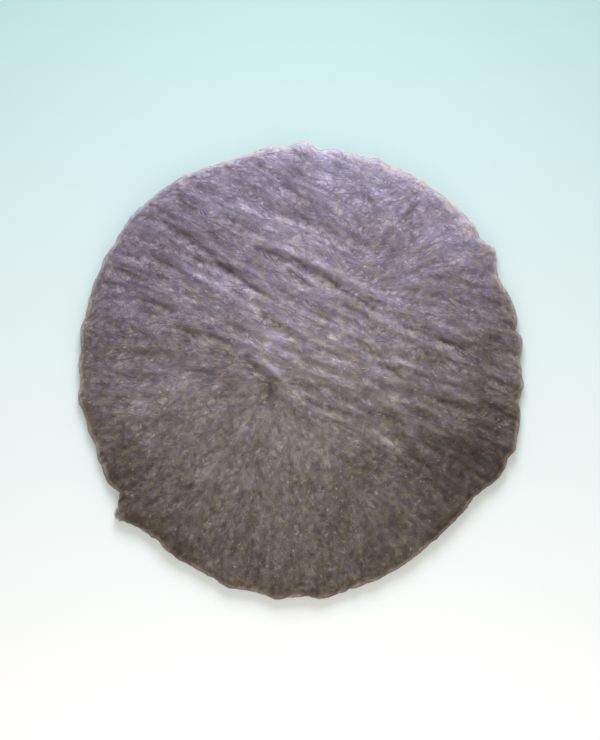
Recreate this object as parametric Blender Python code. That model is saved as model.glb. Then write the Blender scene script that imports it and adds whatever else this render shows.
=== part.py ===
"""A round floor pad of steel wool: one batt, folded round and pressed flat.

Metres, with +Z up. The pad lies on its flat underside, and the origin is the middle of that
face. +Y is the side that a person sees as the top of the pad when looking down on it.

The batt's strands are gathered at one place a little left of the middle. From there they fan out
to the left, the bottom and the right, and a band of long parallel strands arches over them from
the upper left to the lower right. The relief of the top follows those strands: pleats and locks
along them, long creases in the band, and the step where the band's edge lies over the fan.
"""
import math

import bmesh
import bpy
import numpy as np
from mathutils import Vector, noise

# The disc
PAD_DIAMETER = 0.432
CROWN_HEIGHT = 0.0210
RIM_HEIGHT = 0.0170
RIM_ROLL = 0.0130
SEAT_DEPTH = 0.0012

# The strands
GATHER_X = -0.0267
GATHER_Y = -0.0155
BAND_LIE = -28.0
BAND_HALF_WIDTH = 0.062
BAND_OFFSET = 0.048
BAND_SWELL = 0.0022
FAN_SWELL = 0.0012
FAN_SWELL_RADIUS = 0.110
FAN_SWELL_HALF_WIDTH = 0.060
GATHER_HOLLOW = 0.0024
GATHER_HOLLOW_RADIUS = 0.030

# The pleats along the strands, tallest in the band and smoothed out at the gather point, the
# narrower locks of strands that they are made of, and the softer tufts between them
PLEAT_PITCH = 0.0135
BAND_PLEAT_HEIGHT = 0.0022
FAN_PLEAT_HEIGHT = 0.0010
PLEATED_BAND_HALF_WIDTH = 0.087
PLEAT_RUN = 0.055
PLEAT_LAYER = 2.5
LOCK_PITCH = 0.0098
BAND_LOCK_HEIGHT = 0.0024
FAN_LOCK_HEIGHT = 0.0013
LOCK_RUN = 0.0300
LOCK_LAYER = 5.5
TUFT_PITCH = 0.0300
TUFT_HEIGHT = 0.0016
TUFT_LAYER = 8.5
RIM_RELIEF_SHARE = 0.35
UNDERSIDE_SHARE = 0.25

# The mesh
SPOKES = 400
CROWN_RINGS = 80
RIM_RINGS = 14
FACETS = 12000
SHORTEST_EDGE = 0.0008

# How the strands lie around the gather point, both in degrees anticlockwise from +X: where a
# place lies as seen from the gather point, and the way that its strands run there.
STRAND_LIES = (
    (180, 180),
    (225, 222),
    (270, 268),
    (315, 318),
    (360, 340),
    (405, 338),
    (450, 332),
    (495, 336),
    (540, 360),
)

# Swellings and dips of the rim: the middle of each in degrees, how far it reaches outwards as
# a share of LOBE_REACH, and its half width in degrees.
LOBE_REACH = 0.0060
RIM_LOBES = (
    (132, 0.90, 16),
    (218.5, 1.03, 4),
    (198, -0.57, 9),
    (235, 0.13, 4),
    (251, 0.57, 4),
    (264, 0.67, 3.5),
    (276, 0.57, 3.5),
    (313, -1.40, 17),
    (325, -0.50, 4),
    (338, 0.70, 8),
    (349, 0.27, 3),
    (24, -0.60, 3.5),
    (33, 0.20, 3),
    (45, 0.60, 7),
    (61, 0.30, 5),
    (90, 0.20, 6),
    (150, 0.20, 4),
    (180, -0.33, 4),
    (0, -0.27, 5),
    (186, 0.43, 3),
    (80, 0.17, 4),
    (39, 0.37, 3),
)

# Creases in the top: the shares of CREASE_DEPTH, CREASE_WIDTH and FOLD_LIFT that each one has,
# and the points that it runs through, in pad radii from the gather point. The fold that rises
# beside it lies on the left of somebody who walks along the crease.
CREASE_DEPTH = 0.0032
CREASE_WIDTH = 0.0044
FOLD_LIFT = 0.0010
CREASES = (
    (1.20, 0.86, 1.2, ((-0.530, 0.706), (-0.387, 0.660), (-0.252, 0.556), (-0.118, 0.465),
                       (0.002, 0.382))),
    (1.25, 0.82, 1.6, ((-0.183, 0.632), (-0.030, 0.609), (0.090, 0.539), (0.211, 0.507),
                       (0.345, 0.435), (0.479, 0.359), (0.627, 0.285), (0.762, 0.211),
                       (0.900, 0.132))),
    (0.95, 0.86, 1.0, ((0.215, 0.433), (0.391, 0.317), (0.539, 0.241), (0.706, 0.134),
                       (0.817, 0.062))),
    (0.75, 0.95, 0.6, ((-0.053, 0.322), (-0.016, 0.301), (0.049, 0.255), (0.095, 0.225))),
    (0.65, 1.00, 0.8, ((0.086, 0.076), (0.150, 0.032), (0.299, -0.044), (0.382, -0.081))),
    (1.30, 1.18, 2.6, ((-0.433, 0.238), (-0.359, 0.227), (-0.252, 0.204), (-0.164, 0.167),
                       (-0.097, 0.097), (-0.030, 0.021), (0.012, -0.086))),
    (0.90, 0.91, 1.0, ((-0.664, 0.595), (-0.627, 0.586), (-0.507, 0.556), (-0.400, 0.479),
                       (-0.331, 0.438))),
    (0.80, 1.00, 0.8, ((-0.711, 0.405), (-0.674, 0.405), (-0.581, 0.391), (-0.493, 0.368),
                       (-0.396, 0.326))),
    (0.75, 1.05, 0.8, ((-0.049, 1.007), (0.060, 0.914), (0.181, 0.780), (0.225, 0.720),
                       (0.289, 0.637))),
    (0.80, 2.05, 0.6, ((0.688, 0.303), (0.734, 0.361), (0.840, 0.479), (0.914, 0.600))),
    (0.75, 1.00, 0.8, ((0.354, 0.100), (0.391, 0.076), (0.479, 0.016), (0.632, -0.072),
                       (0.697, -0.104))),
    (0.70, 0.95, 0.8, ((0.725, -0.058), (0.780, -0.072), (0.900, -0.104), (0.984, -0.123))),
    (0.45, 1.18, 0.8, ((-0.266, -0.030), (-0.396, -0.086), (-0.465, -0.118), (-0.553, -0.192),
                       (-0.637, -0.262))),
    (0.40, 1.14, 0.6, ((-0.266, -0.197), (-0.331, -0.252), (-0.387, -0.299), (-0.461, -0.373))),
    (0.40, 1.14, 0.6, ((-0.248, -0.308), (-0.303, -0.382), (-0.359, -0.461), (-0.405, -0.539))),
    (0.50, 1.18, 0.8, ((0.428, -0.076), (0.484, -0.132), (0.539, -0.188), (0.600, -0.299),
                       (0.650, -0.410))),
    (0.30, 1.14, 0.6, ((-0.016, -0.206), (-0.044, -0.336), (-0.062, -0.484), (-0.081, -0.669))),
    (0.30, 1.14, 0.6, ((0.160, -0.188), (0.206, -0.317), (0.243, -0.465), (0.280, -0.623))),
    (0.35, 1.14, 0.6, ((-0.572, 0.035), (-0.674, 0.016), (-0.785, 0.016))),
)
# In crease widths: the reach of the valley's easy side, and the place and half width of the
# fold beside it. A crease fades out over this share of its length at each end.
CREASE_EASY_SIDE = 1.9
FOLD_PLACE = 2.2
FOLD_HALF_WIDTH = 1.6
CREASE_FADE = 0.16
POINTS_PER_SPAN = 12


def catmull_rom(points, per_span):
    """A smooth line through the points, as an array of places."""
    ends = [2 * points[0] - points[1], *points, 2 * points[-1] - points[-2]]
    spans = []
    for before, start, end, after in zip(ends, ends[1:], ends[2:], ends[3:]):
        t = np.linspace(0, 1, per_span, endpoint=False)[:, None]
        spans.append(
            0.5 * (2 * start + (end - before) * t
                   + (2 * before - 5 * start + 4 * end - after) * t ** 2
                   + (3 * start - before - 3 * end + after) * t ** 3)
        )
    return np.vstack([*spans, points[-1][None]])


def bell(distance, width):
    """1 in the middle, falling off smoothly over the width."""
    return np.exp(-((distance / width) ** 2))


def strand_lie(x, y):
    """The way that the strands run at a place, in radians anticlockwise from +X."""
    around = np.degrees(np.arctan2(y - GATHER_Y, x - GATHER_X)) % 360
    around = np.where(around < STRAND_LIES[0][0], around + 360, around)
    lies = catmull_rom([np.array(pair, float) for pair in STRAND_LIES], POINTS_PER_SPAN)
    return np.radians(np.interp(around, lies[:, 0], lies[:, 1]))


def patchy(x, y, pitch, layer):
    """Smooth random hills and hollows of the pitch, the same each time."""
    places = zip(x / pitch, y / pitch)
    return np.array([noise.noise(Vector((u, v, layer))) for u, v in places])


def combed(x, y, pitch, run, layer):
    """Random hills drawn out along the strands, as pleats are."""
    total = patchy(x, y, pitch, layer)
    steps = max(2, round(run / (0.5 * pitch)))
    for way in (1, -1):
        u = x.copy()
        v = y.copy()
        heading = strand_lie(u, v)
        for _ in range(steps):
            lie = strand_lie(u, v)
            turned = np.cos(lie - heading) < 0
            heading = np.where(turned, lie + math.pi, lie)
            u = u + way * run / steps * np.cos(heading)
            v = v + way * run / steps * np.sin(heading)
            total = total + patchy(u, v, pitch, layer)
    return total / math.sqrt(2 * steps + 1)


def crease_relief(x, y, depth, width, lift, points):
    """A valley along the points, steep under the fold on its left and easy on its right."""
    gather = np.array([GATHER_X, GATHER_Y])
    radius = PAD_DIAMETER / 2
    line = catmull_rom([gather + np.array(point) * radius for point in points], POINTS_PER_SPAN)
    offsets = np.stack([x, y], axis=1)[:, None] - line[None]
    distances = np.linalg.norm(offsets, axis=2)
    nearest = distances.argmin(axis=1)
    along = np.gradient(line, axis=0)[nearest]
    offset = offsets[np.arange(len(x)), nearest]
    leftward = along[:, 0] * offset[:, 1] - along[:, 1] * offset[:, 0]
    distance = distances.min(axis=1) * np.sign(leftward)
    progress = nearest / (len(line) - 1)
    fade = np.clip(np.minimum(progress, 1 - progress) / CREASE_FADE, 0, 1)
    fade = fade * fade * (3 - 2 * fade)
    valley = bell(distance, np.where(distance > 0, width, CREASE_EASY_SIDE * width))
    fold = bell(distance - FOLD_PLACE * width, FOLD_HALF_WIDTH * width)
    return fade * (lift * fold - depth * valley)


def top_relief(x, y):
    """How far the wool's surface stands outside the plain disc at a place."""
    lie = math.radians(BAND_LIE)
    across = (y - GATHER_Y) * math.cos(lie) - (x - GATHER_X) * math.sin(lie)
    relief = BAND_SWELL * bell(across - BAND_OFFSET, BAND_HALF_WIDTH)
    from_gather = np.hypot(x - GATHER_X, y - GATHER_Y)
    fan = bell(from_gather - FAN_SWELL_RADIUS, FAN_SWELL_HALF_WIDTH) * (across < 0)
    relief = relief + FAN_SWELL * fan
    relief = relief - GATHER_HOLLOW * bell(from_gather, GATHER_HOLLOW_RADIUS)
    in_band = bell(across - BAND_OFFSET, PLEATED_BAND_HALF_WIDTH)
    pleat_height = FAN_PLEAT_HEIGHT + (BAND_PLEAT_HEIGHT - FAN_PLEAT_HEIGHT) * in_band
    lock_height = FAN_LOCK_HEIGHT + (BAND_LOCK_HEIGHT - FAN_LOCK_HEIGHT) * in_band
    pleat_height = pleat_height * (1 - bell(from_gather, GATHER_HOLLOW_RADIUS / 2))
    relief = relief + pleat_height * combed(x, y, PLEAT_PITCH, PLEAT_RUN, PLEAT_LAYER)
    relief = relief + lock_height * combed(x, y, LOCK_PITCH, LOCK_RUN, LOCK_LAYER)
    relief = relief + TUFT_HEIGHT * patchy(x, y, TUFT_PITCH, TUFT_LAYER)
    for depth, width, lift, points in CREASES:
        relief = relief + crease_relief(
            x, y, depth * CREASE_DEPTH, width * CREASE_WIDTH, lift * FOLD_LIFT, points
        )
    return relief


def rim_reach(angle):
    """How far the rim stands outside the round disc at an angle in degrees."""
    reach = np.zeros_like(angle)
    for middle, height, half_width in RIM_LOBES:
        away = (angle - middle + 180) % 360 - 180
        reach = reach + height * LOBE_REACH * bell(away, half_width)
    return reach


def spun_disc():
    """The plain disc, open underneath: a rolled rim and a low crown, spun about +Z."""
    radius = PAD_DIAMETER / 2
    seat = radius - RIM_ROLL
    profile = []
    for ring in range(RIM_RINGS + 1):
        angle = math.pi * (ring / RIM_RINGS - 0.5)
        rise = RIM_HEIGHT / 2 * (1 + math.sin(angle))
        drop = SEAT_DEPTH * (1 - rise / RIM_HEIGHT)
        profile.append((seat + RIM_ROLL * math.cos(angle), rise - drop))
    for ring in range(1, CROWN_RINGS + 1):
        inwards = 1 - ring / CROWN_RINGS
        crown = math.cos(math.pi / 2 * inwards) ** 2
        profile.append((seat * inwards, RIM_HEIGHT + (CROWN_HEIGHT - RIM_HEIGHT) * crown))
    bm = bmesh.new()
    corners = [bm.verts.new((r, 0, z)) for r, z in profile]
    edges = [bm.edges.new(pair) for pair in zip(corners, corners[1:])]
    bmesh.ops.spin(
        bm, geom=corners + edges, cent=(0, 0, 0), axis=(0, 0, 1), angle=2 * math.pi,
        steps=SPOKES, use_merge=True, use_duplicate=False,
    )
    bmesh.ops.remove_doubles(bm, verts=bm.verts, dist=1e-6)
    bmesh.ops.recalc_face_normals(bm, faces=bm.faces)
    if max(bm.faces, key=lambda face: face.calc_center_median().z).normal.z < 0:
        bmesh.ops.reverse_faces(bm, faces=bm.faces)
    return bm


def shape_wool(bm):
    """Push the disc's rim out into its lobes, and its surface into folds, pleats and creases."""
    bm.normal_update()
    places = np.array([vert.co for vert in bm.verts])
    normals = np.array([vert.normal for vert in bm.verts])
    from_middle = np.hypot(places[:, 0], places[:, 1])
    outwards = places[:, :2] / np.maximum(from_middle, 1e-6)[:, None]
    angle = np.degrees(np.arctan2(places[:, 1], places[:, 0]))
    share = np.clip(from_middle / (PAD_DIAMETER / 2), 0, 1) ** 3
    places[:, :2] += outwards * (rim_reach(angle) * share)[:, None]
    relief = top_relief(places[:, 0], places[:, 1])
    height = np.clip(places[:, 2] / RIM_HEIGHT, 0, 1)
    kept = UNDERSIDE_SHARE + (1 - UNDERSIDE_SHARE) * np.sqrt(height)
    facing_up = np.clip(normals[:, 2], 0, 1)
    kept = kept * (RIM_RELIEF_SHARE + (1 - RIM_RELIEF_SHARE) * facing_up)
    places += normals * (relief * kept)[:, None]
    for vert, place in zip(bm.verts, places):
        vert.co = place


def close_underside(bm):
    """Cut the bottom level where the pad rests, and close it with one flat face."""
    bmesh.ops.bisect_plane(
        bm, geom=bm.verts[:] + bm.edges[:] + bm.faces[:], dist=1e-6,
        plane_co=(0, 0, 0), plane_no=(0, 0, 1), clear_inner=True,
    )
    seat = {vert for edge in bm.edges if edge.is_boundary for vert in edge.verts}
    for vert in seat:
        vert.co.z = 0
    bmesh.ops.remove_doubles(bm, verts=list(seat), dist=SHORTEST_EDGE)
    bmesh.ops.holes_fill(bm, edges=[edge for edge in bm.edges if edge.is_boundary], sides=0)
    bmesh.ops.recalc_face_normals(bm, faces=bm.faces)


def wool_material():
    """Grey steel strands, a little warm, with a soft metal gloss."""
    material = bpy.data.materials.new("Steel wool")
    material.use_nodes = True
    shader = material.node_tree.nodes["Principled BSDF"]
    shader.inputs["Base Color"].default_value = (0.19, 0.165, 0.175, 1)
    shader.inputs["Metallic"].default_value = 0.7
    shader.inputs["Roughness"].default_value = 0.5
    return material


def make_pad():
    """The whole pad, as one closed mesh."""
    bm = spun_disc()
    shape_wool(bm)
    fine = bpy.data.meshes.new("wool_pad_fine")
    bm.to_mesh(fine)
    bm.free()
    pad = bpy.data.objects.new("wool_pad", fine)
    bpy.context.scene.collection.objects.link(pad)
    fewer = pad.modifiers.new("Fewer facets", "DECIMATE")
    fewer.ratio = FACETS / (2 * len(fine.polygons))
    bpy.context.view_layer.update()
    shaped = pad.evaluated_get(bpy.context.evaluated_depsgraph_get())
    bm = bmesh.new()
    bm.from_mesh(shaped.to_mesh())
    pad.modifiers.remove(fewer)
    close_underside(bm)
    mesh = bpy.data.meshes.new("wool_pad")
    bm.to_mesh(mesh)
    bm.free()
    pad.data = mesh
    bpy.data.meshes.remove(fine)
    mesh.shade_smooth()
    mesh.set_sharp_from_angle(angle=math.radians(50))
    mesh.materials.append(wool_material())
    return pad


for old in list(bpy.data.objects):
    bpy.data.objects.remove(old)
make_pad()
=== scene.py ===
import math

import bmesh
import bpy
import numpy as np
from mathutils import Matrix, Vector
from mathutils.bvhtree import BVHTree


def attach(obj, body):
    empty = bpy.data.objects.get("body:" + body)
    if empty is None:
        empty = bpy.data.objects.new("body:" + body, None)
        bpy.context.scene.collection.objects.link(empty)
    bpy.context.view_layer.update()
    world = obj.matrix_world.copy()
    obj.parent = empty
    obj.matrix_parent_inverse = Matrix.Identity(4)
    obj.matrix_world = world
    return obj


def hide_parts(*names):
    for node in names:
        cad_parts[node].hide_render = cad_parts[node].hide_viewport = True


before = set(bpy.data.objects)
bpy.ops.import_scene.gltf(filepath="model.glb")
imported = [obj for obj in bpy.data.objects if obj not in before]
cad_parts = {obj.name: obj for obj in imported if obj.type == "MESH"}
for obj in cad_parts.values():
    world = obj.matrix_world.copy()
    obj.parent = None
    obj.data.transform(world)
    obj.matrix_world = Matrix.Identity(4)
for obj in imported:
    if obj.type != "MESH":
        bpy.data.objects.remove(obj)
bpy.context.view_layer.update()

# The batt
# One mat of fine steel strands, gathered at one place, fanned round from it and pressed flat
# into a disc. Its solid has the folds, and here it gets the rim's small lumps, furrows that run
# along the strands, and the wool's shades, much of them painted light and shade: lighter and
# lilac at the top, darker and brown at the bottom, painted shade in valleys, pockets and gaps,
# painted highlights on locks, and a pale painted sheen at the rim.
PAD_RADIUS = 0.2155
BATT_GRAIN = 0.0024
BATT_SMOOTHING = 3
UNDERSIDE_INSET = 0.0009
FURROW_PITCH = 0.0052
FURROW_RUN = 0.016
FURROW_DEPTH = 0.0007
SMOOTH_RIM = 0.020
RIM_FURROW_SHARE = 0.8
GATHER = (-0.0267, -0.0155)
BAND_WAY = math.radians(-28)
BAND_EDGE = 0.030
# As seen from the gather point: where a place lies, and how the strands run there, in degrees.
STRAND_LIES = (
    (180, 180),
    (225, 222),
    (270, 268),
    (315, 318),
    (360, 340),
    (405, 338),
    (450, 332),
    (495, 336),
    (540, 360),
)
RUFFLED_PLACE = (0.105, 0.130)
RUFFLED_RADIUS = 0.065
RUFFLED_TURN = 0.8
# Small lumps and dents of the rolled rim: where each is and how wide, in degrees, and how far
# it stands out. They fade inwards over the width of the roll.
RIM_LUMPS = (
    (2.5, 2.0, -0.0030),
    (10.5, 1.5, -0.0025),
    (27.0, 1.5, -0.0020),
    (32.0, 2.0, 0.0040),
    (37.0, 1.5, -0.0028),
    (62.0, 7.0, 0.0014),
    (70.0, 2.0, 0.0028),
    (84.8, 1.8, -0.0022),
    (89.4, 2.3, 0.0043),
    (98.5, 3.0, 0.0018),
    (111.0, 5.0, -0.0014),
    (133.0, 2.0, -0.0018),
    (146.5, 3.0, -0.0022),
    (164.5, 3.0, -0.0018),
    (173.0, 3.5, -0.0026),
    (184.0, 3.0, -0.0026),
    (200.5, 2.0, -0.0022),
    (207.0, 3.0, -0.0014),
    (214.0, 2.2, -0.0066),
    (220.5, 3.0, 0.0028),
    (230.0, 2.5, -0.0030),
    (262.0, 17.0, 0.0017),
    (274.5, 1.5, 0.0016),
    (280.5, 3.0, 0.0012),
    (323.0, 2.0, -0.0028),
    (330.0, 5.0, 0.0015),
    (337.5, 1.5, -0.0028),
    (351.5, 2.0, -0.0038),
)
RIM_ROLL = 0.020
# Places that are darker or lighter than the wool around them, painted light and shade with some
# of the wool's own tone, the first two of them painted shade in pockets beside the gather point:
# where they are, how far they reach, and how much lighter they are.
TONE_AND_PAINTED_SHADE_SPOTS = (
    (-0.047, 0.010, 0.011, -0.22),
    (-0.028, -0.021, 0.011, -0.22),
    (-0.080, 0.020, 0.016, -0.12),
    (-0.168, 0.060, 0.024, 0.14),
    (-0.145, 0.118, 0.014, 0.10),
    (-0.150, 0.098, 0.012, -0.12),
    (-0.105, 0.160, 0.014, -0.10),
    (-0.075, 0.132, 0.015, -0.12),
    (-0.062, 0.116, 0.012, -0.08),
    (-0.040, 0.108, 0.014, -0.10),
    (-0.055, 0.160, 0.010, -0.07),
    (-0.070, 0.178, 0.016, 0.08),
    (0.000, 0.160, 0.020, -0.12),
    (-0.036, 0.212, 0.010, -0.16),
    (-0.030, 0.198, 0.013, 0.12),
    (0.016, 0.194, 0.014, 0.16),
    (0.042, 0.188, 0.016, 0.12),
    (0.034, 0.208, 0.010, -0.26),
    (0.028, 0.196, 0.009, 0.16),
    (0.072, 0.184, 0.012, 0.14),
    (0.080, 0.126, 0.026, -0.11),
    (0.112, 0.128, 0.012, -0.08),
    (0.152, 0.148, 0.024, 0.12),
    (0.152, 0.103, 0.016, 0.10),
    (0.140, 0.072, 0.018, -0.09),
    (0.092, 0.080, 0.022, 0.06),
    (0.000, 0.096, 0.012, -0.10),
    (0.024, 0.083, 0.015, -0.13),
    (-0.042, 0.070, 0.012, -0.10),
    (0.010, 0.024, 0.022, 0.12),
    (0.040, 0.000, 0.018, 0.12),
    (0.155, 0.038, 0.018, 0.10),
    (0.178, 0.022, 0.018, -0.16),
    (0.160, -0.024, 0.014, 0.09),
    (0.165, -0.058, 0.016, 0.05),
    (0.160, -0.085, 0.036, -0.13),
    (0.110, -0.096, 0.020, -0.08),
    (0.100, -0.150, 0.045, 0.05),
    (0.030, -0.052, 0.012, -0.07),
    (-0.015, -0.152, 0.013, -0.07),
    (0.000, -0.176, 0.020, 0.05),
    (-0.060, -0.160, 0.022, -0.07),
    (-0.115, -0.020, 0.015, 0.14),
    (-0.160, -0.030, 0.026, 0.12),
    (-0.165, -0.070, 0.018, -0.08),
    (-0.182, -0.105, 0.026, -0.16),
    (-0.158, -0.142, 0.026, -0.20),
    (-0.120, -0.174, 0.026, -0.18),
)
# Painted highlights on single locks that catch the light, and painted shade in the gaps between
# locks: how much lighter each is, and the places that it runs through.
LOCK_WIDTH = 0.0023
PAINTED_LOCK_LIGHT_AND_GAP_SHADE = (
    (0.22, ((-0.102, 0.093), (-0.074, 0.080), (-0.042, 0.058))),
    (0.20, ((-0.078, 0.115), (-0.060, 0.104), (-0.044, 0.099), (-0.031, 0.082))),
    (0.17, ((-0.012, 0.104), (0.008, 0.088), (0.026, 0.076))),
    (0.17, ((0.016, 0.104), (0.052, 0.086), (0.096, 0.068))),
    (0.21, ((0.002, 0.058), (0.034, 0.043), (0.070, 0.028))),
    (0.18, ((0.056, 0.062), (0.080, 0.049), (0.112, 0.034))),
    (0.15, ((-0.058, 0.018), (-0.042, 0.015), (-0.026, 0.002), (-0.004, -0.024))),
    (0.22, ((-0.004, -0.024), (0.018, -0.039), (0.048, -0.049))),
    (0.17, ((-0.034, 0.026), (-0.018, 0.017), (0.000, 0.010))),
    (0.17, ((0.067, -0.055), (0.092, -0.074))),
    (0.17, ((0.014, -0.074), (0.028, -0.092))),
    (0.15, ((0.070, 0.028), (0.080, 0.016), (0.105, 0.005))),
    (0.20, ((0.086, 0.018), (0.098, 0.009), (0.116, 0.001))),
    (0.14, ((-0.062, 0.160), (-0.036, 0.149), (-0.018, 0.145))),
    (0.17, ((-0.046, 0.062), (-0.034, 0.040), (-0.014, 0.030))),
    (-0.22, ((-0.104, 0.109), (-0.082, 0.104), (-0.068, 0.097), (-0.042, 0.078))),
    (-0.20, ((-0.034, 0.116), (-0.010, 0.107))),
    (-0.22, ((-0.012, 0.098), (0.004, 0.087))),
    (-0.29, ((0.026, 0.088), (0.048, 0.0745), (0.070, 0.061))),
    (0.22, ((0.026, 0.090), (0.036, 0.086), (0.050, 0.080))),
    (-0.20, ((-0.032, 0.045), (-0.012, 0.038), (0.008, 0.030))),
    (-0.20, ((-0.150, 0.068), (-0.130, 0.062))),
    (-0.20, ((-0.038, 0.198), (-0.010, 0.178))),
    (-0.20, ((0.000, 0.018), (0.014, 0.009))),
    (-0.20, ((0.004, -0.010), (0.018, -0.019))),
    (-0.17, ((0.080, -0.042), (0.098, -0.050))),
    (-0.17, ((0.072, 0.009), (0.096, -0.005), (0.116, -0.014))),
    (-0.17, ((0.100, 0.018), (0.138, 0.007))),
    (-0.17, ((0.138, -0.030), (0.164, -0.039))),
    (-0.17, ((0.096, 0.046), (0.158, 0.022))),
)
# How the tone and the hue change over the whole disc. The tone's change is painted light:
# lighter towards the top and darker towards the edge. The hue's change, lilac towards the top and
# brown towards the bottom, is partly the wool's own tint and partly painted light of the cool and
# the warm lamp. Their value in the middle, and what x, y, x squared, x times y and y squared add
# to it, with x and y in metres.
PAINTED_LIGHT_OVER_DISC = (0.495, -0.02, 0.80, -5.1, 4.5, -2.0)
HUE_AND_PAINTED_LIGHT_OVER_DISC = (0.59, 0.10, -2.2, -4.8, 2.4, -5.0)
SHADE_RANGE = (0.01, 0.98)
# The size of each kind of small detail, and how much it changes the tone or the hue. Where
# there are two amounts, they are for the fan and for the band.
STREAK_PITCH = 0.0030
STREAK_RUN = 0.0100
STREAK_TONE = (0.03, 0.09)
FLECK_PITCH = 0.0029
FLECK_TONE = (0.16, 0.11)
FLECK_HUE = 0.45
PALE_FLECK_HUE = 0.30
PATCH_PITCH = 0.022
PATCH_TONE = 0.06
# The relief's valleys get painted shade and its ridges painted light.
FORM_CELL = 0.002
FORM_MARGIN = 0.012
FORM_BLUR = 0.009
FORM_DEPTH = 0.0012
PAINTED_RELIEF_SHADE = (0.04, 0.05)
# Painted light at the rim: its pale painted edge, which grows darker down the rim's side as
# painted shade, and the wider painted sheen inside it, which is stronger towards the top where
# the lamp falls. Below the rim's widest height the shades drift sideways, so that they don't run
# down in stripes.
PAINTED_PALE_RIM = 0.0025
PAINTED_PALE_RIM_TONE = 0.50
PAINTED_RIM_SHEEN = 0.0090
PAINTED_RIM_SHEEN_TONE = 0.06
PAINTED_RIM_SHEEN_RISE = 0.50
PAINTED_RIM_SHEEN_HUE = 0.45
RIM_HEIGHT = 0.013
SIDE_DRIFT = 1.5
# The fine fibres drawn on the batt: their length and width, the ways that they lie in degrees,
# the noise level that leaves the tone as it is, and how much the rest changes it.
FIBRE_LENGTH = 0.0060
FIBRE_WIDTH = 0.0006
FIBRE_WAYS = (-28, 40, 100)
FIBRE_LEVEL = 0.62
FIBRE_TONE = 1.2
# A height that is clear above the pad.
ABOVE_PAD = 0.03


def bell(distance, width):
    """1 in the middle, falling off smoothly over the width."""
    return np.exp(-((distance / width) ** 2))


def ruffled(x, y):
    """How far the strands are ruffled up at a place, from 0 to 1."""
    return bell(np.hypot(x - RUFFLED_PLACE[0], y - RUFFLED_PLACE[1]), RUFFLED_RADIUS)


def strand_lie(x, y):
    """The way that the strands run at a place, in radians anticlockwise from +X."""
    around = np.degrees(np.arctan2(y - GATHER[1], x - GATHER[0])) % 360
    around = np.where(around < STRAND_LIES[0][0], around + 360, around)
    lie = np.radians(np.interp(around, *np.transpose(STRAND_LIES)))
    share = RUFFLED_TURN * ruffled(x, y)
    turned = (1 - share) * np.exp(2j * lie) + share * np.exp(2j * np.arctan2(y, x))
    return np.angle(turned) / 2


def in_band(x, y):
    """How far a place is in the band of long strands, from 0 to 1."""
    across = (y - GATHER[1]) * math.cos(BAND_WAY) - (x - GATHER[0]) * math.sin(BAND_WAY)
    return np.clip(across / BAND_EDGE + 0.5, 0, 1) * (1 - ruffled(x, y))


def ripple(x, y, pitch, seed):
    """Smooth random heights from -1 to 1, with hills of the pitch."""
    lattice = np.random.default_rng(seed).uniform(-1, 1, (256, 256))
    u, v = np.floor(x / pitch), np.floor(y / pitch)
    across, up = x / pitch - u, y / pitch - v
    across, up = across * across * (3 - 2 * across), up * up * (3 - 2 * up)
    i, j = u.astype(int) % 256, v.astype(int) % 256
    beside, above = (i + 1) % 256, (j + 1) % 256
    low = lattice[i, j] * (1 - across) + lattice[beside, j] * across
    high = lattice[i, above] * (1 - across) + lattice[beside, above] * across
    return low * (1 - up) + high * up


def combed(x, y, pitch, run, seed):
    """Smooth random heights, drawn out along the strands."""
    total = ripple(x, y, pitch, seed)
    steps = max(2, round(2 * run / pitch))
    for way in (1, -1):
        u, v = x.copy(), y.copy()
        heading = strand_lie(u, v)
        for _ in range(steps):
            lie = strand_lie(u, v)
            heading = np.where(np.cos(lie - heading) < 0, lie + math.pi, lie)
            u = u + way * run / steps * np.cos(heading)
            v = v + way * run / steps * np.sin(heading)
            total = total + ripple(u, v, pitch, seed)
    return total / math.sqrt(2 * steps + 1)


def vertex_vectors(mesh, name):
    """The place of each of a mesh's vertices, or the way that it faces."""
    found = np.empty(len(mesh.vertices) * 3)
    mesh.vertices.foreach_get(name, found)
    return found.reshape(-1, 3)


def placed(name, data):
    """A new object in the scene."""
    thing = bpy.data.objects.new(name, data)
    bpy.context.scene.collection.objects.link(thing)
    return thing


def merge_doubles(mesh, distance):
    """Joins the vertices of a mesh that lie within the distance of each other."""
    bm = bmesh.new()
    bm.from_mesh(mesh)
    bmesh.ops.remove_doubles(bm, verts=bm.verts, dist=distance)
    bm.to_mesh(mesh)
    bm.free()


def finished_mesh(thing, name):
    """The mesh that an object shows with its modifiers, as a new mesh."""
    bpy.context.view_layer.update()
    shown = thing.evaluated_get(bpy.context.evaluated_depsgraph_get())
    mesh = bpy.data.meshes.new_from_object(shown)
    mesh.name = name
    return mesh


batt_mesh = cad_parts["wool_pad"].data.copy()
merge_doubles(batt_mesh, 1e-6)
batt = placed("wool_batt", batt_mesh)
remesh = batt.modifiers.new("Even grain", "REMESH")
remesh.mode = "VOXEL"
remesh.voxel_size = BATT_GRAIN
smooth = batt.modifiers.new("Soften", "SMOOTH")
smooth.factor = 0.5
smooth.iterations = BATT_SMOOTHING
batt_mesh = finished_mesh(batt, "wool_batt")
batt.modifiers.clear()
batt.data = batt_mesh
places = vertex_vectors(batt_mesh, "co")
normals = vertex_vectors(batt_mesh, "normal")
around = np.degrees(np.arctan2(places[:, 1], places[:, 0])) % 360
lumps = sum(out * bell((around - turn + 180) % 360 - 180, wide) for turn, wide, out in RIM_LUMPS)
reach = np.hypot(places[:, 0], places[:, 1])
share = np.clip((reach - PAD_RADIUS) / RIM_ROLL + 1, 0, 1)
places[:, :2] *= (1 + share * lumps / PAD_RADIUS)[:, None]
around = around.round().astype(int) % 360
rim_reach = np.zeros(360)
np.maximum.at(rim_reach, around, np.hypot(places[:, 0], places[:, 1]))


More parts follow.
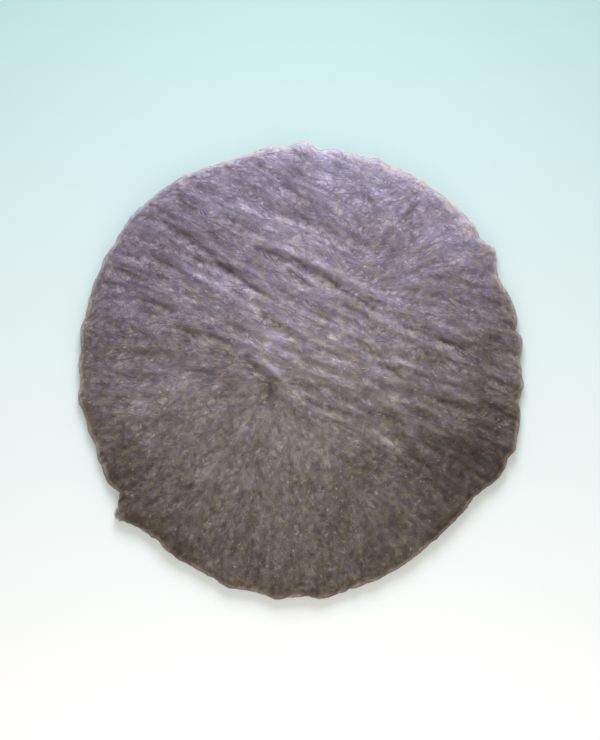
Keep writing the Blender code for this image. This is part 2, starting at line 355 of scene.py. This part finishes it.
def to_rim(x, y):
    """How far inside the rim a place is."""
    turn = np.degrees(np.arctan2(y, x))
    return np.interp(turn, np.arange(360), rim_reach, period=360) - np.hypot(x, y)


x, y = places[:, 0].copy(), places[:, 1].copy()
furrows = FURROW_DEPTH * combed(x, y, FURROW_PITCH, FURROW_RUN, seed=3)
share = np.clip(to_rim(x, y) / SMOOTH_RIM, RIM_FURROW_SHARE, 1)
places += normals * (furrows * share)[:, None]
places[:, 2] = np.maximum(places[:, 2], UNDERSIDE_INSET)
batt_mesh.vertices.foreach_set("co", places.ravel())
batt_mesh.shade_smooth()
batt_skin = BVHTree.FromPolygons(
    [Vector(place) for place in places], [face.vertices[:] for face in batt_mesh.polygons]
)


def softened(heights, known, reach):
    """Heights averaged over their known neighbours, on a grid."""
    steps = np.arange(-3 * reach, 3 * reach + 1)
    weights = bell(steps, 1.4 * reach)
    for axis in (0, 1):
        heights = np.apply_along_axis(np.convolve, axis, heights, weights, "same")
        known = np.apply_along_axis(np.convolve, axis, known, weights, "same")
    return heights / np.maximum(known, 1e-6)


cells = round(2 * (PAD_RADIUS + FORM_MARGIN) / FORM_CELL)
lines = (np.arange(cells) - (cells - 1) / 2) * FORM_CELL
down = Vector((0, 0, -1))
hits = [[batt_skin.ray_cast(Vector((x, y, ABOVE_PAD)), down)[0] for y in lines] for x in lines]
tops = np.array([[hit.z if hit else 0.0 for hit in row] for row in hits])
on_pad = np.array([[1.0 if hit else 0.0 for hit in row] for row in hits])
forms = (tops - softened(tops, on_pad, round(FORM_BLUR / FORM_CELL))) * on_pad


def form(x, y):
    """Where a place lies in the relief: from -1 in a valley to 1 on a ridge."""
    u = np.clip(x / FORM_CELL + (cells - 1) / 2, 0, cells - 1.001)
    v = np.clip(y / FORM_CELL + (cells - 1) / 2, 0, cells - 1.001)
    i, j = u.astype(int), v.astype(int)
    across, up = u - i, v - j
    low = forms[i, j] * (1 - across) + forms[i + 1, j] * across
    high = forms[i, j + 1] * (1 - across) + forms[i + 1, j + 1] * across
    return np.tanh((low * (1 - up) + high * up) / FORM_DEPTH)


def off_line(x, y, points):
    """How far a place is from a line through the points."""
    nearest = np.full(len(x), 1.0)
    for (u, v), (s, t) in zip(points, points[1:]):
        across, up = s - u, t - v
        along = ((x - u) * across + (y - v) * up) / (across ** 2 + up ** 2)
        along = np.clip(along, 0, 1)
        nearest = np.minimum(nearest, np.hypot(x - u - along * across, y - v - along * up))
    return nearest


def below_rim(z):
    """How far a height is below the rim's widest reach, where the shades of the side begin."""
    return np.maximum(RIM_HEIGHT - z, 0)


def over_disc(x, y, terms):
    """A shade that changes smoothly over the whole disc."""
    middle, along, up, along_twice, across, up_twice = terms
    return middle + along * x + up * y + along_twice * x ** 2 + across * x * y + up_twice * y ** 2


def drifted(x, y, z):
    """Where a place looks up its small detail, which drifts sideways down the rim's side."""
    drift = SIDE_DRIFT * below_rim(z)
    return x + drift, y + drift


def wool_tone(x, y, z):
    """How light the wool is at a place, from 0 to 1, with painted light and shade in it."""
    band = in_band(x, y)
    # Painted light: lighter towards the top and darker towards the edge of the disc.
    tone = over_disc(x, y, PAINTED_LIGHT_OVER_DISC)
    u, v = drifted(x, y, z)
    tone += np.interp(band, (0, 1), STREAK_TONE) * combed(u, v, STREAK_PITCH, STREAK_RUN, seed=5)
    tone += np.interp(band, (0, 1), FLECK_TONE) * ripple(u, v, FLECK_PITCH, seed=7)
    tone += PATCH_TONE * ripple(u, v, PATCH_PITCH, seed=6)
    # Painted shade in the relief's valleys and painted light on its ridges.
    tone += np.interp(band, (0, 1), PAINTED_RELIEF_SHADE) * form(x, y)
    # Painted light along the rim's edge, darker down its side as painted shade, and a painted
    # sheen inside it that is stronger towards the top.
    inwards = np.maximum(to_rim(x, y), 0)
    tone += PAINTED_PALE_RIM_TONE * bell(inwards, PAINTED_PALE_RIM) * (1 - below_rim(z) / RIM_HEIGHT)
    tone += (PAINTED_RIM_SHEEN_TONE + PAINTED_RIM_SHEEN_RISE * y) * bell(inwards, PAINTED_RIM_SHEEN)
    # Spots of painted light and shade, with some of the wool's own tone.
    for u, v, reach, lighter in TONE_AND_PAINTED_SHADE_SPOTS:
        tone += lighter * bell(np.hypot(x - u, y - v), reach)
    # Painted highlights on locks and painted shade in the gaps between them.
    for lighter, points in PAINTED_LOCK_LIGHT_AND_GAP_SHADE:
        tone += lighter * bell(off_line(x, y, points), LOCK_WIDTH)
    return np.clip(tone, *SHADE_RANGE)


def wool_hue(x, y, z):
    """How brown the wool is at a place, partly painted light: 0 is lilac steel, 1 is straw and
    brown.
    """
    # Partly the wool's own tint and partly painted light: lilac towards the top, brown towards the
    # bottom.
    hue = over_disc(x, y, HUE_AND_PAINTED_LIGHT_OVER_DISC)
    u, v = drifted(x, y, z)
    hue += FLECK_HUE * ripple(u, v, FLECK_PITCH, seed=8)
    hue += PALE_FLECK_HUE * ripple(u, v, FLECK_PITCH, seed=7)
    # The painted sheen at the rim is browner.
    hue += PAINTED_RIM_SHEEN_HUE * bell(np.maximum(to_rim(x, y), 0), PAINTED_RIM_SHEEN)
    return np.clip(hue, *SHADE_RANGE)


def node_of(tree, kind, inputs, **settings):
    """A node with its settings, its inputs either plain values or other nodes' outputs."""
    node = tree.nodes.new("ShaderNode" + kind)
    for name, value in settings.items():
        setattr(node, name, value)
    for name, value in inputs.items():
        if isinstance(value, bpy.types.NodeSocket):
            tree.links.new(value, node.inputs[name])
        else:
            node.inputs[name].default_value = value
    return node


def math_of(tree, operation, first, second):
    """The result of an operation on two numbers or sockets."""
    return node_of(tree, "Math", {0: first, 1: second}, operation=operation).outputs[0]


def shade_ramp(tree, factor, stops):
    """A colour ramp with (place, colour) stops."""
    node = node_of(tree, "ValToRGB", {"Fac": factor})
    for place, colour in stops[1:-1]:
        node.color_ramp.elements.new(place)
    for element, (place, colour) in zip(node.color_ramp.elements, stops):
        element.position = place
        element.color = (*colour, 1)
    return node.outputs["Color"]


def wool_colour(tree, tone, hue):
    """The wool's colour: a lilac and a straw scale of shades, mixed by the hue."""
    lilac = shade_ramp(
        tree, tone,
        (
            (0.00, (0.074, 0.062, 0.068)),
            (0.25, (0.190, 0.164, 0.195)),
            (0.50, (0.352, 0.314, 0.425)),
            (0.86, (0.640, 0.600, 0.810)),
            (1.00, (0.850, 0.820, 0.930)),
        ),
    )
    straw = shade_ramp(
        tree, tone,
        (
            (0.00, (0.082, 0.062, 0.038)),
            (0.25, (0.215, 0.175, 0.125)),
            (0.50, (0.390, 0.335, 0.270)),
            (0.86, (0.680, 0.610, 0.540)),
            (1.00, (0.950, 0.830, 0.560)),
        ),
    )
    mix = node_of(tree, "Mix", {0: hue, 6: lilac, 7: straw}, data_type="RGBA")
    return mix.outputs[2]


def steel(name, metallic, roughness):
    """A steel material: itself, its node tree and its shader."""
    material = bpy.data.materials.new(name)
    material.use_nodes = True
    shader = material.node_tree.nodes["Principled BSDF"]
    shader.inputs["Metallic"].default_value = metallic
    shader.inputs["Roughness"].default_value = roughness
    return material, material.node_tree, shader


def fibres(tree, way, layer):
    """Noise drawn out one way, as the fibres of one layer lie."""
    here = node_of(tree, "TexCoord", {}).outputs["Object"]
    along = node_of(
        tree, "Mapping",
        {
            "Vector": here,
            "Location": (0, 0, layer),
            "Rotation": (0, 0, math.radians(way)),
            "Scale": (FIBRE_LENGTH, FIBRE_WIDTH, FIBRE_WIDTH),
        },
        vector_type="TEXTURE",
    ).outputs[0]
    return node_of(
        tree, "TexNoise", {"Vector": along, "Scale": 1.0, "Detail": 2.0, "Distortion": 0.5}
    ).outputs["Fac"]


for name, field in (("tone", wool_tone), ("hue", wool_hue)):
    shades = field(*places.T).astype(np.float32)
    batt_mesh.attributes.new(name, "FLOAT", "POINT").data.foreach_set("value", shades)
batt_steel, tree, shader = steel("Matted strands", metallic=0.35, roughness=0.6)
matted = fibres(tree, FIBRE_WAYS[0], 0)
for layer, way in enumerate(FIBRE_WAYS[1:]):
    matted = math_of(tree, "MAXIMUM", matted, fibres(tree, way, layer + 1))
raised = math_of(tree, "SUBTRACT", matted, FIBRE_LEVEL)
raised = math_of(tree, "MULTIPLY", raised, FIBRE_TONE)
batt_tone = node_of(tree, "Attribute", {}, attribute_name="tone").outputs["Fac"]
batt_hue = node_of(tree, "Attribute", {}, attribute_name="hue").outputs["Fac"]
batt_colour = wool_colour(tree, math_of(tree, "ADD", batt_tone, raised), batt_hue)
tree.links.new(batt_colour, shader.inputs["Base Color"])
bump = node_of(tree, "Bump", {"Height": matted, "Strength": 0.8, "Distance": 0.0006})
tree.links.new(bump.outputs["Normal"], shader.inputs["Normal"])
batt_mesh.materials.clear()
batt_mesh.materials.append(batt_steel)
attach(batt, "root")
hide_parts("wool_pad")

# The strands of the top
# Thin ribbons of steel, each a lock of the finest strands: long ones that run with the folds,
# and curled ones matted over them. They lie on the batt and hold by their own tangle.
BUNDLE_SIZE = 4
BUNDLE_WIDTH = 0.0022
BUNDLE_STAGGER = 0.006
THREAD_CORNERS = ((1.25, 0), (-0.62, 0.62), (-0.62, -0.62))
END_DEPTH = 0.0004
# The UV map holds a strand's tone across and its hue up, and each face takes this width of it.
UV_WIDTH = 0.004
# The lower part of the fan is matted more than the rest: where, how far, and how much.
MATTED_PLACE = (0.03, -0.15)
MATTED_RADIUS = 0.14
MATTING = 0.9
EXTRA_MATTING = 0.6
# How a strand bends: what it keeps of its last bend, how fast it turns to the lie of the wool,
# and how it waves up and down, in radians a step.
BEND_KEPT = 0.75
STEERING = 0.8
WAVE_STEPS = (0.9, 1.9)
WAVE_STARTS = (0, 6.3)
WAVE_SHARE = 0.5
# How strands differ in width, tone and hue, and how much lighter and browner a painted glint is.
WIDTH_SPREAD = (0.7, 1.3)
TONE_SPREAD = 0.025
HUE_SPREAD = 0.22
PAINTED_GLINT_TONE = (0.05, 0.35)
PAINTED_GLINT_HUE = 0.3
# How far an evenly scattered place strays, as a share of the distance between places.
SCATTER_JITTER = 0.35
# Each layer's bundles, steps each way, stride, spread of its lie and curl in radians, width
# and height above the batt.
TOP_LAYERS = (
    ("long_strands", 1100, 3, 0.0085, 0.35, 0.12, 0.00044, 0.0004),
    ("curled_strands_lower", 1250, 3, 0.0038, 0.70, 0.40, 0.00040, 0.0006),
    ("curled_strands_middle", 1250, 3, 0.0034, 0.85, 0.45, 0.00036, 0.0008),
    ("curled_strands_upper", 1250, 3, 0.0030, 1.00, 0.50, 0.00032, 0.0010),
)


def seated(spots):
    """The nearest places on the batt to the spots, and the way that it faces there."""
    found = [batt_skin.find_nearest(spot) for spot in spots]
    return np.array([hit[0] for hit in found]), np.array([hit[1] for hit in found])


def laid_paths(starts, turns, curl, steps, stride, rng):
    """Paths over the batt's skin, both ways from their starts: places and facings by point."""
    halves = []
    for way in (1, -1):
        place, normal = seated(starts)
        lie = strand_lie(place[:, 0], place[:, 1]) + turns
        heading = way * np.stack([np.cos(lie), np.sin(lie), np.zeros(len(lie))], axis=1)
        half = [(place, normal)]
        bend = np.zeros(len(turns))
        for _ in range(steps):
            heading -= normal * (heading * normal).sum(axis=1, keepdims=True)
            heading /= np.linalg.norm(heading, axis=1, keepdims=True)
            place, normal = seated(place + stride * heading)
            bend = BEND_KEPT * bend + rng.normal(0, 1, len(turns)) * curl
            lie = strand_lie(place[:, 0], place[:, 1]) + turns + bend
            wanted = np.stack([np.cos(lie), np.sin(lie), np.zeros(len(lie))], axis=1)
            wanted *= np.sign((wanted * heading).sum(axis=1, keepdims=True))
            steer = STEERING * np.abs(normal[:, 2:])
            heading = (1 - steer) * heading + steer * wanted
            half.append((place, normal))
        halves.append(half)
    whole = halves[1][:0:-1] + halves[0]
    return np.stack([pair[0] for pair in whole], 1), np.stack([pair[1] for pair in whole], 1)


thread_curve = bpy.data.curves.new("thread_profile", "CURVE")
thread_curve.dimensions = "2D"
outline = thread_curve.splines.new("POLY")
outline.points.add(len(THREAD_CORNERS) - 1)
for point, corner in zip(outline.points, THREAD_CORNERS):
    point.co = (*corner, 0, 1)
outline.use_cyclic_u = True
thread_profile = bpy.data.objects.new("thread_profile", thread_curve)

strand_steel, tree, shader = steel("Steel strands", metallic=0.35, roughness=0.7)
strand_map = node_of(tree, "UVMap", {}, uv_map="OFBake").outputs["UV"]
strand_axes = node_of(tree, "SeparateXYZ", {"Vector": strand_map})
strand_colour = wool_colour(tree, strand_axes.outputs["X"], strand_axes.outputs["Y"])
tree.links.new(strand_colour, shader.inputs["Base Color"])


def strand_piece(name, paths, width, rng, painted_glint_share=0.0):
    """One mesh of strands along the paths, whose UV map holds their tones and their hues."""
    strands, count = paths.shape[:2]
    radii = rng.uniform(*WIDTH_SPREAD, strands) * width / 2
    curve = bpy.data.curves.new(name, "CURVE")
    curve.dimensions = "3D"
    curve.bevel_mode = "OBJECT"
    curve.bevel_object = thread_profile
    taper = np.ones(count)
    taper[[0, -1]] = 0
    with_weight = np.concatenate([paths, np.ones((strands, count, 1))], axis=2)
    for path, radius in zip(with_weight, radii):
        spline = curve.splines.new("POLY")
        spline.points.add(count - 1)
        spline.points.foreach_set("co", path.ravel())
        spline.points.foreach_set("radius", taper * radius)
    maker = placed(name + "_curve", curve)
    mesh = finished_mesh(maker, name)
    bpy.data.objects.remove(maker)

    points = paths.reshape(-1, 3).T
    tones = wool_tone(*points).reshape(strands, count)
    tones = np.clip(tones + TONE_SPREAD * rng.normal(0, 1, (strands, 1)), *SHADE_RANGE)
    # Painted highlights: some points of a strand are painted lighter and browner as glints.
    painted_glints = rng.random((strands, count)) < painted_glint_share
    tones = np.where(painted_glints, tones + rng.uniform(*PAINTED_GLINT_TONE, tones.shape), tones)
    tones = np.clip(tones, *SHADE_RANGE)
    hues = wool_hue(*points).reshape(strands, count)
    hues = hues + HUE_SPREAD * rng.normal(0, 1, (strands, 1))
    hues = np.clip(np.where(painted_glints, hues + PAINTED_GLINT_HUE, hues), *SHADE_RANGE)
    corners = np.empty(len(mesh.loops), int)
    mesh.loops.foreach_get("vertex_index", corners)
    ring, side = np.divmod(corners, len(THREAD_CORNERS))
    strand, along = np.divmod(ring, count)
    u = tones[strand, along] + UV_WIDTH * side / len(THREAD_CORNERS)
    v = hues[strand, along] + UV_WIDTH * (along % 2)
    while mesh.uv_layers:
        mesh.uv_layers.remove(mesh.uv_layers[0])
    shade_map = mesh.uv_layers.new(name="OFBake")
    shade_map.uv.foreach_set("vector", np.stack([u, v], axis=1).astype(np.float32).ravel())

    merge_doubles(mesh, 1e-7)
    mesh.materials.clear()
    mesh.materials.append(strand_steel)
    mesh.shade_smooth()
    piece = placed(name, mesh)
    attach(piece, "root")


def laid_strands(name, starts, turns, curl, steps, stride, width, lift, rng, painted_glint_share=0.0):
    """Strands that lie on the batt through their starts, their ends tucked into it."""
    paths, faces = laid_paths(starts, turns, curl, steps, stride, rng)
    strands, count = paths.shape[:2]
    waves = np.arange(count) * rng.uniform(*WAVE_STEPS, (strands, 1))
    waves = np.sin(waves + rng.uniform(*WAVE_STARTS, (strands, 1)))
    heights = lift * (rng.uniform(0, 1, (strands, 1)) + WAVE_SHARE * waves)
    heights[:, [0, -1]] = -END_DEPTH
    paths = paths + faces * heights[:, :, None]
    paths[:, :, 2] = np.maximum(paths[:, :, 2], width)
    strand_piece(name, paths, width, rng, painted_glint_share)


def scattered(count, radius, rng):
    """Evenly scattered places on a disc."""
    number = np.arange(count)
    reach = radius * np.sqrt((number + 0.5) / count)
    turn = number * math.pi * (3 - math.sqrt(5))
    jitter = rng.normal(0, SCATTER_JITTER * radius / math.sqrt(count), (2, count))
    return reach * np.cos(turn) + jitter[0], reach * np.sin(turn) + jitter[1]


def at_height(x, y, height):
    """Places of one height."""
    return np.stack([x, y, np.full(len(x), height)], axis=1)


for number, layer in enumerate(TOP_LAYERS):
    name, bundles, steps, stride, spread, curl, width, lift = layer
    rng = np.random.default_rng(seed=21 + number)
    x, y = scattered(bundles, PAD_RADIUS, rng)
    matted = bell(np.hypot(x - MATTED_PLACE[0], y - MATTED_PLACE[1]), MATTED_RADIUS)
    matting = MATTING + EXTRA_MATTING * matted + ruffled(x, y)
    turns = rng.normal(0, 1, bundles) * spread * matting
    x, y, turns = (np.repeat(array, BUNDLE_SIZE) for array in (x, y, turns))
    lie = strand_lie(x, y)
    aside = rng.normal(0, BUNDLE_WIDTH, len(x))
    ahead = rng.normal(0, BUNDLE_STAGGER, len(x))
    x = x + ahead * np.cos(lie) - aside * np.sin(lie)
    y = y + ahead * np.sin(lie) + aside * np.cos(lie)
    turns = turns + rng.normal(0, 0.5 * spread, len(x))
    starts = at_height(x, y, ABOVE_PAD)
    laid_strands(name, starts, turns, curl, steps, stride, width, lift, rng)

# The painted glint specks and the single curls
# Short bits of cut strand, painted as glints of straw and white among the rest, and single
# strands that lie curled on top of the mat, some of their points painted as glints too.
SPECKS = 1000
CURLS = 200


def strewn(count, rng):
    """Random places above the pad."""
    reach = PAD_RADIUS * np.sqrt(rng.random(count))
    around = rng.uniform(0, 2 * math.pi, count)
    return at_height(reach * np.cos(around), reach * np.sin(around), ABOVE_PAD)


rng = np.random.default_rng(seed=27)
starts = strewn(SPECKS, rng)
turns = rng.normal(0, 0.7, SPECKS)
laid_strands(
    "painted_glint_specks", starts, turns, curl=0.3, steps=1, stride=0.0026, width=0.0011,
    lift=0.0009, rng=rng, painted_glint_share=1.0,
)
starts = strewn(CURLS, rng)
turns = rng.normal(0, 0.9, CURLS)
laid_strands(
    "single_curls", starts, turns, curl=0.6, steps=4, stride=0.0021, width=0.0006,
    lift=0.0012, rng=rng, painted_glint_share=0.25,
)

# The strands of the rim and the underside
# The same wool where the batt turns over at its rim, and where the pad rests on the floor. Its
# strands run mostly round the rim, and with the folds underneath.
RIM_STRANDS = 2200
OUTSIDE_RIM = 0.23
UNDERSIDE_STRANDS = 1600
UNDERSIDE_MARGIN = 0.012
BELOW_PAD = -0.01


def rim_starts(around, lowest, highest, rng):
    """Places outside the rim, from which the nearest wool is the rim's side."""
    heights = rng.uniform(lowest, highest, len(around))
    x, y = OUTSIDE_RIM * np.cos(around), OUTSIDE_RIM * np.sin(around)
    return np.stack([x, y, heights], axis=1)


rng = np.random.default_rng(seed=31)
around = rng.uniform(0, 2 * math.pi, RIM_STRANDS)
starts = rim_starts(around, 0.001, 0.017, rng)
turns = around + math.pi / 2 - strand_lie(starts[:, 0], starts[:, 1])
turns = turns + rng.normal(0, 0.8, RIM_STRANDS)
laid_strands(
    "rim_strands", starts, turns, curl=0.4, steps=3, stride=0.0040, width=0.00040,
    lift=0.0008, rng=rng,
)

rng = np.random.default_rng(seed=32)
x, y = scattered(UNDERSIDE_STRANDS, PAD_RADIUS - UNDERSIDE_MARGIN, rng)
starts = at_height(x, y, BELOW_PAD)
turns = rng.normal(0, 0.6, UNDERSIDE_STRANDS)
laid_strands(
    "underside_strands", starts, turns, curl=0.25, steps=3, stride=0.0090, width=0.00050,
    lift=0.0005, rng=rng,
)

# The loose ends
# Broken ends of strands that stand out of the rim and the top, and one tuft at the lower left
# where the batt's end is tucked in badly.
RIM_ENDS = 2600
TOP_ENDS = 400
TUFT_ENDS = 260
TUFT_PLACE = math.radians(217.5)
TUFT_SPREAD = 0.018
TUFT_STRAY = 0.45
LOOSE_STEPS = 5
LOOSE_STRAY = 0.9
LOOSE_CURL = 0.75
LOOSE_LENGTHS = (0.5, 1.2)
ROOT_DEPTH = 0.0012
HIGHEST_END = 0.030


def loose_ends(name, starts, reach, width, rng, way=None):
    """Curled strands that stand out of the batt."""
    place, normal = seated(starts)
    strands = len(place)
    heading = normal + LOOSE_STRAY * rng.normal(0, 1, (strands, 3))
    if way is not None:
        heading = way + TUFT_STRAY * rng.normal(0, 1, (strands, 3))
    stride = reach * rng.uniform(*LOOSE_LENGTHS, (strands, 1)) / LOOSE_STEPS
    place = place - ROOT_DEPTH * normal
    path = [place]
    for _ in range(LOOSE_STEPS):
        heading /= np.linalg.norm(heading, axis=1, keepdims=True)
        place = place + stride * heading
        path.append(place)
        heading = heading + LOOSE_CURL * rng.normal(0, 1, (strands, 3))
    paths = np.stack(path, axis=1)
    paths[:, :, 2] = np.clip(paths[:, :, 2], width, HIGHEST_END)
    strand_piece(name, paths, width, rng)


rng = np.random.default_rng(seed=41)
around = rng.uniform(0, 2 * math.pi, RIM_ENDS)
starts = rim_starts(around, 0.002, 0.011, rng)
loose_ends("rim_loose_ends", starts, reach=0.0034, width=0.00026, rng=rng)
x, y = scattered(TOP_ENDS, PAD_RADIUS, rng)
starts = at_height(x, y, ABOVE_PAD)
loose_ends("top_loose_ends", starts, reach=0.0028, width=0.00022, rng=rng)
around = TUFT_PLACE + rng.normal(0, TUFT_SPREAD, TUFT_ENDS)
outwards = np.array([math.cos(TUFT_PLACE), math.sin(TUFT_PLACE), 0])
starts = rim_starts(around, 0.004, 0.014, rng)
loose_ends("rim_tuft", starts, reach=0.0080, width=0.00034, rng=rng, way=outwards)

# The floor, the lamps and the camera
# A pale floor under the pad, a large cool lamp beyond its upper edge, a weaker warm one on the
# other side, and a camera that looks straight down on it through a long lens.
FLOOR_SIZE = 6.0
FLOOR_GLOW = 0.19
FLOOR_FADE = 0.36
ROOM_COLOUR = (1.0, 0.96, 0.90)
ROOM_STRENGTH = 0.45
FACE_HEIGHT = 0.02
VIEW_HEIGHT = 0.7124
VIEW_CENTRE = (-0.0005, 0.0010)
LENS = 85.0
SENSOR = 36.0
CAMERA_HEIGHT = VIEW_HEIGHT * LENS / SENSOR + FACE_HEIGHT
# Each lamp's name, place, size, power in watts and colour.
LAMPS = (
    ("key", (0.00, 0.75, 0.75), 0.5, 9, (0.90, 0.90, 1.0)),
    ("fill", (0.05, -1.0, 0.8), 0.9, 4, (1.0, 0.94, 0.86)),
)

bm = bmesh.new()
bmesh.ops.create_grid(bm, x_segments=1, y_segments=1, size=FLOOR_SIZE / 2)
floor_mesh = bpy.data.meshes.new("floor")
bm.to_mesh(floor_mesh)
bm.free()
floor = placed("floor", floor_mesh)
floor_paint = bpy.data.materials.new("Pale floor")
floor_paint.use_nodes = True
tree = floor_paint.node_tree
floor_shader = tree.nodes["Principled BSDF"]
floor_shader.inputs["Roughness"].default_value = 0.8
here = node_of(tree, "TexCoord", {}).outputs["Object"]
floor_y = node_of(tree, "SeparateXYZ", {"Vector": here}).outputs["Y"]
floor_share = node_of(
    tree, "MapRange", {"Value": floor_y, "From Min": -FLOOR_FADE, "From Max": FLOOR_FADE}
).outputs["Result"]
floor_colour = shade_ramp(
    tree, floor_share,
    (
        (0.0, (0.98, 0.98, 0.98)),
        (0.5, (0.66, 0.77, 0.75)),
        (1.0, (0.36, 0.53, 0.51)),
    ),
)
tree.links.new(floor_colour, floor_shader.inputs["Base Color"])
tree.links.new(floor_colour, floor_shader.inputs["Emission Color"])
ray = node_of(tree, "LightPath", {})
seen = math_of(tree, "MAXIMUM", ray.outputs["Is Camera Ray"], ray.outputs["Is Glossy Ray"])
seen = math_of(tree, "MAXIMUM", seen, ray.outputs["Is Transmission Ray"])
glow = math_of(tree, "MULTIPLY", seen, FLOOR_GLOW)
tree.links.new(glow, floor_shader.inputs["Emission Strength"])
floor_mesh.materials.append(floor_paint)

world = bpy.data.worlds.new("Studio")
world.use_nodes = True
background = world.node_tree.nodes["Background"]
background.inputs["Color"].default_value = (*ROOM_COLOUR, 1)
background.inputs["Strength"].default_value = ROOM_STRENGTH
bpy.context.scene.world = world

for name, place, size, power, colour in LAMPS:
    light = bpy.data.lights.new(name, "AREA")
    light.size = size
    light.energy = power
    light.color = colour
    lamp = placed(name, light)
    lamp.location = place
    lamp.rotation_euler = (-Vector(place)).to_track_quat("-Z", "Y").to_euler()

camera = placed("camera", bpy.data.cameras.new("camera"))
camera.data.sensor_fit = "VERTICAL"
camera.data.sensor_height = SENSOR
camera.data.sensor_width = SENSOR
camera.data.lens = LENS
camera.location = (*VIEW_CENTRE, CAMERA_HEIGHT)
bpy.context.scene.camera = camera
bpy.context.scene.view_settings.view_transform = "Standard"
